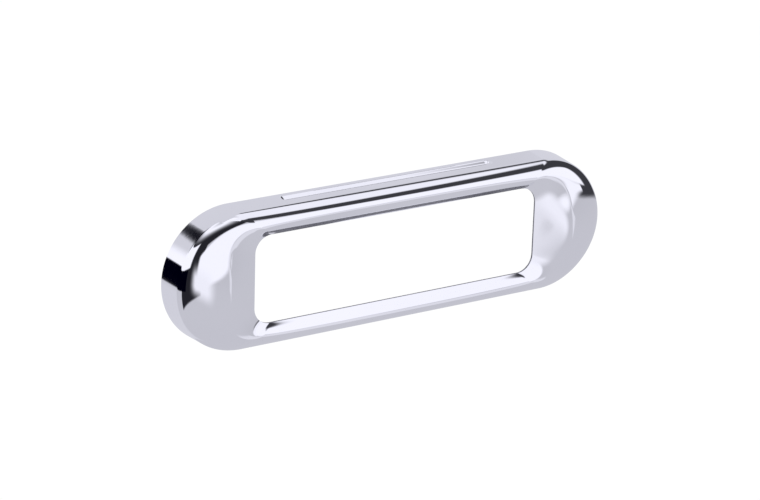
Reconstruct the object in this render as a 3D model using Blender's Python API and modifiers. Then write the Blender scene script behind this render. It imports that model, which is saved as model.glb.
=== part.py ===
"""Letter plate, outside unit: domed chrome surround with a sprung flap hinged inside it.

Frame: metres, +Z up, front faces -Y, the door face is the plane y = 0. The origin is
on the rear rim, in the middle of its lower run, which is where the unit meets the door.
Sizes below are in millimetres, are scaled once, by MM, and are measured from the centre
of the rear outline; the whole object is lifted by RISE at the end. Left is -X.
"""
import math

import bmesh
import bpy
import numpy as np

MM = 0.001
SIDES = (("left", -1), ("right", 1))
SIDE_GAP = 0.3            # clearance between neighbouring pieces

# ---------------------------------------------------------------- surround
LENGTH = 264.0            # overall, end to end
HEIGHT = 76.4             # overall, a true stadium: half-round ends
END_X = LENGTH / 2 - HEIGHT / 2   # centres of the half-round ends, shared by all stadiums
WALL_DEPTH = 16.7         # straight side wall, from the door face forwards
WALL_DRAFT = 0.9          # how much the wall leans in over its depth
SKIN = 2.0                # casting thickness
RISE = HEIGHT / 2 - SKIN / 2      # rear rim's lower run to the outline's centre
OPEN_W = 174.4            # see-through opening
OPEN_H = 48.8
OPEN_R = 9.5
LIP_Y = 18.2              # opening's front edge, in front of the door face
RAIL_CREST = 21.7         # crest height over the long rails
RAIL_SHOULDER = 7.6       # width of the rounded shoulder on the long rails
END_CREST = 28.1          # crest height over the broad ends
END_SHOULDER = 25.0       # width of the rounded shoulder on the ends
FALL_POWER = 2.15         # how the surface falls from crest to opening
INNER_WALL_DROP = 0.35    # inner wall is shorter by this share of the inset
INNER_SHOULDER_TRIM = 0.6  # inner shoulder is narrower by this share of the inset
AROUND = 80               # stations around the outline
RAY_SAMPLES = 400         # samples from outline to opening at each station

# Ring places: share of the shoulder's width, then share of the fall to the opening.
OUTER_SHOULDER_STEPS = (0.03, 0.12, 0.3, 0.6)
OUTER_FALL_STEPS = (0.0, 0.4, 0.75, 1.0)
INNER_SHOULDER_STEPS = (0.04, 0.3)
INNER_FALL_STEPS = (0.0, 0.6, 1.0)
MID_WALL_DEPTH = 8.0      # extra ring on the outer wall

GROOVE_HALF = 65.5        # finger groove along the top wall
GROOVE_Y0, GROOVE_Y1 = 3.1, 8.1   # in front of the door face
GROOVE_DEEP = 1.2
# (share of the groove's half width, height over the wall)
GROOVE_LAYERS = ((1.25, 0.6), (1.0, 0.0), (0.55, -0.68 * GROOVE_DEEP), (0.2, -GROOVE_DEEP))

# ---------------------------------------------------------------- carrier and fixings
CARRIER_Y0, CARRIER_Y1 = -5.0, -1.8
CARRIER_R = 35.3          # half height of the carrier's stadium
CARRIER_WIN_X = 100.0
CARRIER_WIN_LOW, CARRIER_WIN_TOP = -32.7, 30.7
WINDOW_CORNER = 9.0
GASKET_R = 35.5
GASKET_WIN_X = 100.6
GASKET_WIN_LOW, GASKET_WIN_TOP = -32.8, 31.0
POST_X = 115.0
POST_R = 4.75
POST_BACK = 15.0          # post's rear end, behind the door face
SCREW_X, SCREW_Z = 107.0, 21.0
SCREW_HOLE_R = 1.9
SLOT_HALF_LONG, SLOT_HALF_WIDE = 1.7, 0.35
SLOT_Y0, SLOT_Y1 = -0.95, 0.4
DRILL_Y0, DRILL_Y1 = -17.2, -4.0  # holes in the bosses
# tag, x, z, boss radius, hole radius, gap from the boss's front end to the outer surface
BOSSES = (
    ("post", POST_X, 0.0, 6.2, 3.2, 1.8),
    ("up", SCREW_X, SCREW_Z, 3.7, 1.85, 2.3),
    ("low", SCREW_X, -SCREW_Z, 3.7, 1.85, 2.3),
)

# ---------------------------------------------------------------- hinge
HINGE_Y, HINGE_Z = -11.0, 28.6
PIN_R = 1.5
PIN_HALF = 99.0
PIN_CHAMFER = 0.4
RING_BORE_R = 1.82        # bushes and clips, around the pin
BUSH_R = 2.92
BUSH_FLANGE_R = 4.3
CLIP_R = 3.7
CLIP_T = 0.8
CLIP_OFFSET = 1.3         # lug's outer face to the clip's middle
LUG_X0, LUG_X1 = 92.0, 96.0
LUG_R = 4.9
LUG_BORE_R = 3.25
LUG_BORE_OVERRUN = 2.0
HOOK_WEB_X = (57.0, 59.4)
HOOK_FACE_X = (58.0, 64.0)
HOOK_Y0 = -11.8
HOOK_WEB_Y1, HOOK_FACE_Y1 = -3.0, -10.0
HOOK_Z0, HOOK_Z1 = 32.3, 35.0

# ---------------------------------------------------------------- flap and springs
# Flap sizes are from the hinge axis, with the flap hanging closed.
FLAP_REST = 67.0          # degrees the flap stands open at rest
FLAP_HALF = 89.8
FLAP_REACH = 55.8         # hinge axis to the flap's free edge
FLAP_T = 2.0
FLAP_CORNER = 11.0
FLAP_TOP = -2.5
FLAP_FRONT = -3.0         # the leaf's front face
FLAP_BACK = FLAP_FRONT + FLAP_T
NOTCH_X0, NOTCH_X1 = 59.4, 76.6
NOTCH_DEEP = 2.4
KNUCKLE_R = 3.3
BORE_R = PIN_R + 0.35
BORE_HALF = 95.0
KNUCKLES = ((-89.4, -77.0), (-59.0, 59.0), (77.0, 89.4))
RIB_HALF = 74.0
RIB_SINK, RIB_PROUD = 0.5, 1.6    # into the leaf and out from its back
RIB_EDGE0, RIB_EDGE1 = 1.2, 3.4   # up from the free edge
SEAL_T = 1.5
SEAL_OUTER_INSET, SEAL_OUTER_TOP = 0.3, -4.0
SEAL_INNER_INSET, SEAL_INNER_TOP = 2.7, -6.4
BUMP_X, BUMP_Z = 83.0, -7.4
SPRING_X0, SPRING_X1 = 61.2, 74.8
SPRING_R = 3.0
SPRING_TURNS = 8
STEPS_PER_TURN = 12
WIRE_R = 0.42
WIRE_CLEARANCE = 0.05     # on top of SIDE_GAP, wire to leaf

for old in list(bpy.data.objects):
    bpy.data.objects.remove(old, do_unlink=True)

parts = bpy.data.collections.new("letter_plate")
cutters = bpy.data.collections.new("cutters")
bpy.context.scene.collection.children.link(parts)
bpy.context.scene.collection.children.link(cutters)


# ---------------------------------------------------------------- materials
def make_material(name, colour, roughness, metallic):
    made = bpy.data.materials.new(name)
    made.use_nodes = True
    inputs = made.node_tree.nodes["Principled BSDF"].inputs
    inputs["Base Color"].default_value = (*colour, 1.0)
    inputs["Roughness"].default_value = roughness
    inputs["Metallic"].default_value = metallic
    return made


def metal(name, colour, roughness):
    return make_material(name, colour, roughness, metallic=1.0)


def plastic(name, colour, roughness):
    return make_material(name, colour, roughness, metallic=0.0)


CHROME = metal("chrome_plate", colour=(0.86, 0.86, 0.88), roughness=0.04)
NYLON = plastic("black_nylon", colour=(0.025, 0.025, 0.028), roughness=0.5)
FOAM = plastic("grey_foam", colour=(0.10, 0.10, 0.105), roughness=0.9)
ALUMINIUM = metal("satin_aluminium", colour=(0.72, 0.73, 0.75), roughness=0.32)
STEEL = metal("plated_steel", colour=(0.62, 0.62, 0.64), roughness=0.25)
SPRING = metal("spring_steel", colour=(0.46, 0.46, 0.48), roughness=0.3)
BRASS = metal("post_brass", colour=(0.78, 0.60, 0.30), roughness=0.3)
RUBBER = plastic("black_rubber", colour=(0.03, 0.03, 0.03), roughness=0.8)
ACETAL = plastic("white_acetal", colour=(0.80, 0.80, 0.78), roughness=0.4)


# ---------------------------------------------------------------- object helpers
def scaled(point):
    return [value * MM for value in point]


def add_part(name, data, material=None):
    obj = bpy.data.objects.new(name, data)
    parts.objects.link(obj)
    if material is not None:
        data.materials.append(material)
    return obj


def as_cutter(obj):
    """Move an object to the hidden helpers that feed the booleans."""
    for collection in list(obj.users_collection):
        collection.objects.unlink(obj)
    cutters.objects.link(obj)
    obj.hide_render = True
    obj.display_type = "WIRE"
    return obj


def finish_mesh(name, edit):
    mesh = bpy.data.meshes.new(name)
    edit.to_mesh(mesh)
    edit.free()
    return mesh


def smooth(obj, angle=35):
    obj.data.shade_smooth()
    obj.data.set_sharp_from_angle(angle=math.radians(angle))
    return obj


def solid_copy(obj, material):
    """The evaluated object as a plain welded mesh in world space, under the same name."""
    bpy.context.view_layer.update()
    depsgraph = bpy.context.evaluated_depsgraph_get()
    mesh = bpy.data.meshes.new_from_object(obj.evaluated_get(depsgraph))
    mesh.transform(obj.matrix_world)
    name = obj.name
    bpy.data.objects.remove(obj, do_unlink=True)
    edit = bmesh.new()
    edit.from_mesh(mesh)
    bmesh.ops.remove_doubles(edit, verts=edit.verts, dist=1e-6)
    bmesh.ops.recalc_face_normals(edit, faces=edit.faces)
    edit.to_mesh(mesh)
    edit.free()
    mesh.materials.clear()
    return add_part(name, mesh, material)


def boolean(obj, tool, how):
    modifier = obj.modifiers.new(f"{how.lower()}_{tool.name}", "BOOLEAN")
    modifier.operation = how
    modifier.object = tool
    modifier.solver = "EXACT"


def cylinder_cutter(name, radius, length, centre, rotation, sides):
    bpy.ops.mesh.primitive_cylinder_add(
        vertices=sides, radius=radius * MM, depth=length * MM,
        location=scaled(centre), rotation=rotation,
    )
    obj = bpy.context.object
    obj.name = name
    return as_cutter(obj)


def cylinder_y(name, radius, y0, y1, x, z, sides=24):
    centre = (x, (y0 + y1) / 2, z)
    return cylinder_cutter(name, radius, y1 - y0, centre, (math.pi / 2, 0, 0), sides)


def cylinder_x(name, radius, x0, x1, y, z, sides=24):
    centre = ((x0 + x1) / 2, y, z)
    return cylinder_cutter(name, radius, x1 - x0, centre, (0, math.pi / 2, 0), sides)


def box(name, low, high):
    bpy.ops.mesh.primitive_cube_add(
        size=1, location=scaled((a + b) / 2 for a, b in zip(low, high)))
    obj = bpy.context.object
    obj.name = name
    obj.scale = scaled(b - a for a, b in zip(low, high))
    bpy.ops.object.transform_apply(location=False, rotation=False, scale=True)
    return as_cutter(obj)


def hull_cutter(name, points, mirror=False):
    """Convex hull of the points, mirrored in x on request."""
    edit = bmesh.new()
    for point in points:
        edit.verts.new(scaled(point))
    hull = bmesh.ops.convex_hull(edit, input=edit.verts)
    inside = [g for g in hull["geom_interior"] if isinstance(g, bmesh.types.BMVert)]
    bmesh.ops.delete(edit, geom=inside, context="VERTS")
    if mirror:
        bmesh.ops.scale(edit, vec=(-1, 1, 1), verts=edit.verts)
    bmesh.ops.recalc_face_normals(edit, faces=edit.faces)
    return as_cutter(add_part(name, finish_mesh(name, edit)))


def flat_piece(name, outlines, thickness, centre, rotation, material):
    """A filled and extruded 2D curve; outlines inside the first one are holes."""
    curve = bpy.data.curves.new(name, "CURVE")
    curve.dimensions = "2D"
    curve.fill_mode = "BOTH"
    curve.extrude = thickness / 2 * MM
    for outline in outlines:
        spline = curve.splines.new("POLY")
        spline.points.add(len(outline) - 1)
        for point, (across, up) in zip(spline.points, outline):
            point.co = (across * MM, up * MM, 0, 1)
        spline.use_cyclic_u = True
    obj = add_part(name, curve)
    obj.rotation_euler = rotation
    obj.location = scaled(centre)
    return solid_copy(obj, material)


def plate(name, outlines, y0, y1, material):
    """A flat piece in the XZ plane, from y0 to y1."""
    centre = (0, (y0 + y1) / 2, 0)
    return flat_piece(name, outlines, y1 - y0, centre, (math.pi / 2, 0, 0), material)


def turned(name, points, location, rotation, material, steps):
    """A turned piece. points: (radius, place along local Z), with Z falling on the outer side."""
    edit = bmesh.new()
    verts = [edit.verts.new((radius * MM, 0, along * MM)) for radius, along in points]
    for start, end in zip(verts, verts[1:]):
        edit.edges.new((start, end))
    obj = add_part(name, finish_mesh(name, edit), material)
    modifier = obj.modifiers.new("turn", "SCREW")
    modifier.axis = "Z"
    modifier.angle = 2 * math.pi
    modifier.steps = modifier.render_steps = steps
    modifier.use_merge_vertices = True
    modifier.merge_threshold = 1e-6
    obj.rotation_euler = rotation
    obj.location = scaled(location)
    return smooth(obj)


def turned_y(name, profile, x, z, material, steps):
    """A turned piece along Y. profile: (radius, y), outer side from rear to front."""
    # local Z points to world -Y, so the profile runs down local Z from its front end
    points = [(radius, -y) for radius, y in reversed(profile)]
    return turned(name, points, (x, 0, z), (math.pi / 2, 0, 0), material, steps)


def turned_on_hinge(name, profile, material, steps):
    """A turned piece along the hinge axis. profile: (radius, x), x falls on the outer side."""
    place = (0, HINGE_Y, HINGE_Z)
    return turned(name, profile, place, (0, math.pi / 2, 0), material, steps)


# ---------------------------------------------------------------- outline helpers
def arc(centre_x, centre_z, radius, start, end, steps):
    """Points on an arc; start and end are in degrees."""
    turns = [math.radians(start + (end - start) * i / steps) for i in range(steps + 1)]
    return [(centre_x + radius * math.cos(turn), centre_z + radius * math.sin(turn))
            for turn in turns]


def circle(x, z, radius, sides=20):
    return arc(x, z, radius, 0, 360 - 360 / sides, sides - 1)


def stadium_outline(radius):
    return arc(END_X, 0, radius, -90, 90, 24) + arc(-END_X, 0, radius, 90, 270, 24)


def window_outline(half, low, top):
    """A rounded rectangle, symmetrical in x."""
    x, z0, z1 = half - WINDOW_CORNER, low + WINDOW_CORNER, top - WINDOW_CORNER
    corners = ((x, z0, -90), (x, z1, 0), (-x, z1, 90), (-x, z0, 180))
    return [point for corner_x, corner_z, start in corners
            for point in arc(corner_x, corner_z, WINDOW_CORNER, start, start + 90, 6)]


def fixing_holes(post_radius, screw_radius, screw_sides):
    holes = []
    for _, sign in SIDES:
        holes.append(circle(sign * POST_X, 0, post_radius))
        for z in (-SCREW_Z, SCREW_Z):
            holes.append(circle(sign * SCREW_X, z, screw_radius, screw_sides))
    return holes


def mirrored_span(sign, near, far):
    """The x range from near to far, on the side that sign gives."""
    return sorted((sign * near, sign * far))


# ---------------------------------------------------------------- surround shape
def stadium_point(share, radius):
    """Point at share in [0, 1) around a stadium, from the right end's middle, anticlockwise
    as seen from the front."""
    quarter, flat = math.pi * radius / 2, 2 * END_X
    run = share * (4 * quarter + 2 * flat)
    if run < quarter:
        turn = run / radius
        return END_X + radius * math.cos(turn), radius * math.sin(turn)
    run -= quarter
    if run < flat:
        return END_X - run, radius
    run -= flat
    if run < 2 * quarter:
        turn = math.pi / 2 + run / radius
        return -END_X + radius * math.cos(turn), radius * math.sin(turn)
    run -= 2 * quarter
    if run < flat:
        return -END_X + run, -radius
    run -= flat
    turn = -math.pi / 2 + run / radius
    return END_X + radius * math.cos(turn), radius * math.sin(turn)


def opening_point(share):
    """The opening's point that faces a station of the outline."""
    x, z = stadium_point(share, HEIGHT / 2)
    half_w, half_h = OPEN_W / 2, OPEN_H / 2
    if abs(x) <= END_X:
        return x / END_X * (half_w - OPEN_R), math.copysign(half_h, z)
    # the half-round end spreads over two corners and the short side
    turn = math.atan2(z, abs(x) - END_X)
    corner, straight = math.pi * OPEN_R / 2, half_h - OPEN_R
    run = abs(turn) / (math.pi / 2) * (corner + straight)
    if run < straight:
        open_x, open_z = half_w, run
    else:
        corner_turn = (run - straight) / OPEN_R
        open_x = half_w - OPEN_R + OPEN_R * math.cos(corner_turn)
        open_z = straight + OPEN_R * math.sin(corner_turn)
    return math.copysign(open_x, x), math.copysign(open_z, turn)


def gap_to_outline(x, z, radius):
    """Distance in from a stadium outline."""
    return radius - np.hypot(np.maximum(np.abs(x) - END_X, 0), z)


def gap_to_opening(x, z):
    """Distance out from the opening's rounded rectangle."""
    past_x = np.abs(x) - (OPEN_W / 2 - OPEN_R)
    past_z = np.abs(z) - (OPEN_H / 2 - OPEN_R)
    outside = np.hypot(np.maximum(past_x, 0), np.maximum(past_z, 0))
    return outside + np.minimum(np.maximum(past_x, past_z), 0) - OPEN_R


def front_radius(inset):
    """Radius of the stadium where the side wall meets the domed front."""
    return HEIGHT / 2 - WALL_DRAFT - inset


def surface(x, z, inset):
    """(shoulder share, fall share, height) of the domed front.

    inset is 0 for the outer surface and SKIN for the inner one.
    """
    radius = front_radius(inset)
    from_edge = np.maximum(gap_to_outline(x, z, radius), 0)
    band = from_edge + np.maximum(gap_to_opening(x, z), 0)
    narrow, broad = radius - OPEN_H / 2, END_X + radius - OPEN_W / 2
    blend = np.clip((band - narrow) / (broad - narrow), 0, 1)   # 0 on rails, 1 at the ends
    crest = RAIL_CREST + (END_CREST - RAIL_CREST) * blend - inset
    width = (RAIL_SHOULDER + (END_SHOULDER - RAIL_SHOULDER) * blend
             - inset * INNER_SHOULDER_TRIM)
    shoulder = np.clip(from_edge / width, 0, 1)
    fall = np.clip((from_edge - width) / np.maximum(band - width, 1e-6), 0, 1)
    base, lip = WALL_DEPTH - inset * INNER_WALL_DROP, LIP_Y - inset
    rising = base + (crest - base) * np.sqrt(np.maximum(1 - (1 - shoulder) ** 2, 0))
    falling = crest - (crest - lip) * fall ** FALL_POWER
    return shoulder, fall, np.where(shoulder < 1, rising, falling)


def surface_height(x, z, inset):
    return float(surface(np.array([x]), np.array([z]), inset)[2][0])


def front_rings(inset, shoulder_steps, fall_steps):
    """Rings of the domed front, from the side wall's front edge to the opening's edge."""
    along = np.linspace(0, 1, RAY_SAMPLES)
    wanted = list(shoulder_steps) + [1 + step for step in fall_steps]
    rings = [[] for _ in wanted]
    for i in range(AROUND):
        x0, z0 = stadium_point(i / AROUND, front_radius(inset))
        x1, z1 = opening_point(i / AROUND)
        shoulder, fall, _ = surface(x0 + (x1 - x0) * along, z0 + (z1 - z0) * along, inset)
        # progress runs 0 to 1 over the shoulder and 1 to 2 over the fall, always rising
        progress = np.where(shoulder < 1, shoulder, 1 + fall)
        progress = np.maximum.accumulate(progress + along * 1e-9)
        for ring, step in zip(rings, wanted):
            place = float(np.interp(step, progress, along)) if step < 2 else 1.0
            x, z = x0 + (x1 - x0) * place, z0 + (z1 - z0) * place
            ring.append((x, -surface_height(x, z, inset), z))
    return rings


def wall_ring(depth, inset):
    radius = HEIGHT / 2 - WALL_DRAFT * depth / WALL_DEPTH - inset
    points = [stadium_point(i / AROUND, radius) for i in range(AROUND)]
    return [(x, -depth, z) for x, z in points]


def surround_mesh():
    """The skin as one closed strip of rings: outer wall and front, then inner ones back."""
    loops = [wall_ring(depth, 0) for depth in (0, MID_WALL_DEPTH, WALL_DEPTH)]
    loops += front_rings(0, OUTER_SHOULDER_STEPS, OUTER_FALL_STEPS)
    loops += front_rings(SKIN, INNER_SHOULDER_STEPS, INNER_FALL_STEPS)[::-1]
    loops += [wall_ring(WALL_DEPTH - SKIN * INNER_WALL_DROP, SKIN), wall_ring(0, SKIN)]
    edit = bmesh.new()
    grid = [[edit.verts.new(scaled(point)) for point in loop] for loop in loops]
    for ring, following in zip(grid, grid[1:] + grid[:1]):
        for i in range(AROUND):
            j = (i + 1) % AROUND
            edit.faces.new((ring[i], ring[j], following[j], following[i]))
    bmesh.ops.recalc_face_normals(edit, faces=edit.faces)
    return finish_mesh("outer_frame", edit)


def groove_form():
    """Finger groove along the top wall: a shallow scoop with round ends."""
    middle, half_width = (GROOVE_Y0 + GROOVE_Y1) / 2, (GROOVE_Y1 - GROOVE_Y0) / 2
    wall_top = HEIGHT / 2 - WALL_DRAFT * middle / WALL_DEPTH
    points = []
    for end in (-1, 1):
        for k in range(7):
            turn = math.radians(-90 + 30 * k)
            for share, over in GROOVE_LAYERS:
                points.append((
                    end * (GROOVE_HALF - half_width) + end * share * half_width * math.cos(turn),
                    -middle + share * half_width * math.sin(turn),
                    wall_top + over,
                ))
    return hull_cutter("groove_form", points)


def add_bosses(frame):
    """Bosses inside the broad ends: one for each fixing post, two for the carrier's screws."""
    for side, sign in SIDES:
        for tag, x, z, radius, hole_radius, gap in BOSSES:
            label = f"{tag}_{side[0]}"
            y0, y1 = -(surface_height(x, z, 0) - gap), CARRIER_Y0 - SIDE_GAP
            boolean(frame, cylinder_y(f"boss_{label}", radius, y0, y1, sign * x, z), "UNION")
            drill = cylinder_y(
                f"drill_{label}", hole_radius, DRILL_Y0, DRILL_Y1, sign * x, z, sides=16)
            boolean(frame, drill, "DIFFERENCE")


def build_surround():
    frame = add_part("outer_frame", surround_mesh(), CHROME)
    boolean(frame, groove_form(), "DIFFERENCE")
    add_bosses(frame)
    smooth(frame, 40)


# ---------------------------------------------------------------- carrier, gasket
def add_hinge_lug(carrier, side, sign):
    """A cheek that reaches forwards and down from the top bar to the hinge axis."""
    # outline in (y, z)
    outline = [(-1.9, 34.4), (-1.9, 31.2), (-4.2, 30.9)]
    outline += arc(HINGE_Y, HINGE_Z, LUG_R, -40, -220, 9)
    outline += [(-12.6, 34.2)]
    points = [(x, y, z) for x in (LUG_X0, LUG_X1) for y, z in outline]
    boolean(carrier, hull_cutter(f"lug_{side[0]}", points, mirror=sign < 0), "UNION")
    x0, x1 = mirrored_span(sign, LUG_X0 - LUG_BORE_OVERRUN, LUG_X1 + LUG_BORE_OVERRUN)
    bore = cylinder_x(f"lug_bore_{side[0]}", LUG_BORE_R, x0, x1, HINGE_Y, HINGE_Z, sides=20)
    boolean(carrier, bore, "DIFFERENCE")


def add_spring_hook(carrier, side, sign):
    """An L that holds the spring's upper leg against the top bar."""
    for tag, span, y1 in (("web", HOOK_WEB_X, HOOK_WEB_Y1), ("face", HOOK_FACE_X, HOOK_FACE_Y1)):
        x0, x1 = mirrored_span(sign, *span)
        tool = box(f"hook_{tag}_{side[0]}", (x0, HOOK_Y0, HOOK_Z0), (x1, y1, HOOK_Z1))
        boolean(carrier, tool, "UNION")


def build_carrier():
    outlines = [stadium_outline(CARRIER_R),
                window_outline(CARRIER_WIN_X, CARRIER_WIN_LOW, CARRIER_WIN_TOP)]
    outlines += fixing_holes(POST_R + 0.4, SCREW_HOLE_R, screw_sides=14)
    carrier = plate("carrier", outlines, CARRIER_Y0, CARRIER_Y1, NYLON)
    for side, sign in SIDES:
        add_hinge_lug(carrier, side, sign)
        add_spring_hook(carrier, side, sign)
    smooth(carrier, 30)


def build_gasket():
    outlines = [stadium_outline(GASKET_R),
                window_outline(GASKET_WIN_X, GASKET_WIN_LOW, GASKET_WIN_TOP)]
    outlines += fixing_holes(post_radius=9.2, screw_radius=3.7, screw_sides=16)
    plate("rear_gasket", outlines, CARRIER_Y1 + SIDE_GAP, 0.0, FOAM)


# ---------------------------------------------------------------- fixings
def build_post(side, sign):
    """Threaded post: spigot in the surround's boss, body through the carrier, tapped from
    behind."""
    turned_y(f"fixing_post_{side}", [
        (0.0, 1.0), (2.1, 2.0), (2.1, POST_BACK - 0.4), (2.5, POST_BACK),
        (POST_R - 0.5, POST_BACK), (POST_R, POST_BACK - 0.5),
        (POST_R, CARRIER_Y0), (2.85, CARRIER_Y0), (2.85, -15.6), (2.35, -16.2), (0.0, -16.2),
    ], sign * POST_X, 0, BRASS, steps=24)


def build_post_washer(side, sign):
    bore = POST_R + 0.35
    front, back = CARRIER_Y1 + SIDE_GAP, CARRIER_Y1 + 1.1
    turned_y(f"post_washer_{side}", [
        (bore, back), (8.6, back), (8.8, back - 0.2),
        (8.8, front + 0.2), (8.6, front), (bore, front), (bore, back),
    ], sign * POST_X, 0, STEEL, steps=24)


def build_carrier_screw(label, x, z):
    """Screw driven forwards into the surround, with a cross recess in its rear face."""
    seat = CARRIER_Y1 + SIDE_GAP
    screw = turned_y(f"carrier_screw_{label}", [
        (0.0, -0.1), (2.4, -0.15), (3.05, -0.65), (3.1, seat),
        (1.5, seat), (1.5, -15.0), (0.5, -16.6), (0.0, -16.6),
    ], x, z, STEEL, steps=16)
    for tag, half_x, half_z in (
        ("a", SLOT_HALF_LONG, SLOT_HALF_WIDE), ("b", SLOT_HALF_WIDE, SLOT_HALF_LONG),
    ):
        slot = box(f"slot_{tag}_{label}",
                   (x - half_x, SLOT_Y0, z - half_z), (x + half_x, SLOT_Y1, z + half_z))
        boolean(screw, slot, "DIFFERENCE")


def build_fixings():
    for side, sign in SIDES:
        build_post(side, sign)
        build_post_washer(side, sign)
        for level, z in (("upper", SCREW_Z), ("lower", -SCREW_Z)):
            build_carrier_screw(f"{level}_{side}", sign * SCREW_X, z)


# ---------------------------------------------------------------- hinge
def build_pin():
    tip_r, shoulder = PIN_R - PIN_CHAMFER, PIN_HALF - PIN_CHAMFER
    turned_on_hinge("hinge_pin", [
        (0.0, PIN_HALF), (tip_r, PIN_HALF), (PIN_R, shoulder),
        (PIN_R, -shoulder), (tip_r, -PIN_HALF), (0.0, -PIN_HALF),
    ], STEEL, steps=16)


def build_bush(side, sign):
    """Flanged bush in the lug, with the flange on the lug's inner face."""
    outer_end, flange = LUG_X1 + 0.5, LUG_X0 - SIDE_GAP
    inner_end = LUG_X0 - 1.2
    profile = [
        (RING_BORE_R, outer_end), (BUSH_R, outer_end), (BUSH_R, flange),
        (BUSH_FLANGE_R, flange), (BUSH_FLANGE_R, inner_end),
        (RING_BORE_R, inner_end), (RING_BORE_R, outer_end),
    ]
    if sign < 0:
        profile = [(radius, -x) for radius, x in reversed(profile)]
    turned_on_hinge(f"hinge_bush_{side}", profile, ACETAL, steps=20)


def build_clip(side, sign):
    """Retaining clip: an open ring, snapped over the pin outside the bush."""
    outline = arc(0, 0, CLIP_R, -50, 230, 14) + arc(0, 0, RING_BORE_R, 230, -50, 12)
    centre = (sign * (LUG_X1 + CLIP_OFFSET), HINGE_Y, HINGE_Z)
    rotation = (math.pi / 2, 0, math.pi / 2)
    flat_piece(f"pin_clip_{side}", [outline], CLIP_T, centre, rotation, STEEL)


def build_hinge():
    build_pin()
    for side, sign in SIDES:
        build_bush(side, sign)
        build_clip(side, sign)


# ---------------------------------------------------------------- flap and what rides on it
# These pieces are modelled with the flap hanging closed and the hinge axis at the origin;
# their parent puts them in place and opens them.
def build_hinge_axis():
    axis = add_part("flap_hinge_axis", None)
    axis.location = scaled((0, HINGE_Y, HINGE_Z))
    axis.rotation_euler = (math.radians(FLAP_REST), 0, 0)
    return axis


def flap_outline(inset, top, notches=()):
    """The leaf's outline, moved in by inset. notches: (right x, left x), from the right."""
    half, low, corner = FLAP_HALF - inset, -FLAP_REACH + inset, FLAP_CORNER - inset
    points = arc(-half + corner, low + corner, corner, 180, 270, 7)
    points += arc(half - corner, low + corner, corner, 270, 360, 7)
    points.append((half, top))
    for right, left in notches:
        floor = top - NOTCH_DEEP
        points += [(right, top), (right, floor), (left, floor), (left, top)]
    return points + [(-half, top)]


def build_flap(axis):
    notches = ((NOTCH_X1, NOTCH_X0), (-NOTCH_X0, -NOTCH_X1))
    outline = flap_outline(0, FLAP_TOP, notches)
    flap = plate("flap", [outline], FLAP_FRONT, FLAP_BACK, ALUMINIUM)
    tools = [(cylinder_x(f"knuckle_{n}", KNUCKLE_R, x0, x1, 0, 0), "UNION")
             for n, (x0, x1) in enumerate(KNUCKLES)]
    bore = cylinder_x("knuckle_bore", BORE_R, -BORE_HALF, BORE_HALF, 0, 0)
    tools.append((bore, "DIFFERENCE"))
    # stiffening step pressed along the free edge
    rib = box("edge_rib",
              (-RIB_HALF, FLAP_BACK - RIB_SINK, -FLAP_REACH + RIB_EDGE0),
              (RIB_HALF, FLAP_BACK + RIB_PROUD, -FLAP_REACH + RIB_EDGE1))
    tools.append((rib, "UNION"))
    for tool, how in tools:
        boolean(flap, tool, how)
        tool.parent = axis
    smooth(flap, 30).parent = axis


def build_seal(axis):
    outlines = [flap_outline(SEAL_OUTER_INSET, SEAL_OUTER_TOP),
                flap_outline(SEAL_INNER_INSET, SEAL_INNER_TOP)]
    back = FLAP_FRONT - SIDE_GAP
    plate("flap_seal", outlines, back - SEAL_T, back, RUBBER).parent = axis


def build_bump_stop(side, sign, axis):
    base = FLAP_BACK + SIDE_GAP
    stop = turned_y(f"bump_stop_{side}", [
        (0.0, base + 2.5), (1.2, base + 2.4), (2.0, base + 1.8),
        (2.3, base + 0.9), (2.3, base), (0.0, base),
    ], sign * BUMP_X, BUMP_Z, RUBBER, steps=16)
    stop.parent = axis


def build_flap_group():
    axis = build_hinge_axis()
    build_flap(axis)
    build_seal(axis)
    for side, sign in SIDES:
        build_bump_stop(side, sign, axis)


# ---------------------------------------------------------------- torsion springs on the pin
def spring_path():
    """The right spring's wire, as points from the hinge axis."""
    # upper leg, down to the coil
    points = [(SPRING_X0, 3.9, 6.1), (SPRING_X0, 3.3, 4.6), (SPRING_X0, SPRING_R, 2.6)]
    # angles run from +Y towards +Z; the coil runs outwards from the middle
    sweep = FLAP_REST - 360.0 * SPRING_TURNS
    steps = STEPS_PER_TURN * SPRING_TURNS
    for i in range(steps + 1):
        turn = math.radians(sweep * i / steps)
        x = SPRING_X0 + (SPRING_X1 - SPRING_X0) * i / steps
        points.append((x, SPRING_R * math.cos(turn), SPRING_R * math.sin(turn)))
    # lower leg: lies on the back of the flap's leaf, so it turns with the flap
    rest = math.radians(FLAP_REST)
    leg_y = FLAP_BACK + SIDE_GAP + WIRE_R + WIRE_CLEARANCE
    for y, z in ((1.4, -6.6), (leg_y, -13.0), (leg_y, -19.0)):
        points.append((SPRING_X1, y * math.cos(rest) - z * math.sin(rest),
                       y * math.sin(rest) + z * math.cos(rest)))
    return points


def build_spring(side, sign):
    name = f"flap_spring_{side}"
    points = spring_path()
    curve = bpy.data.curves.new(name, "CURVE")
    curve.dimensions = "3D"
    curve.bevel_depth = WIRE_R * MM
    curve.bevel_resolution = 1
    curve.use_fill_caps = True
    curve.twist_mode = "MINIMUM"
    spline = curve.splines.new("POLY")
    spline.points.add(len(points) - 1)
    for point, (x, y, z) in zip(spline.points, points):
        point.co = (sign * x * MM, y * MM, z * MM, 1)
    obj = add_part(name, curve)
    obj.location = scaled((0, HINGE_Y, HINGE_Z))
    smooth(solid_copy(obj, SPRING), 60)


def lift_to_origin():
    """Put the origin in the middle of the rear rim's lower run."""
    for group in (parts, cutters):
        for obj in group.objects:
            if obj.parent is None:
                obj.location.z += RISE * MM
    bpy.context.view_layer.update()


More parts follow.
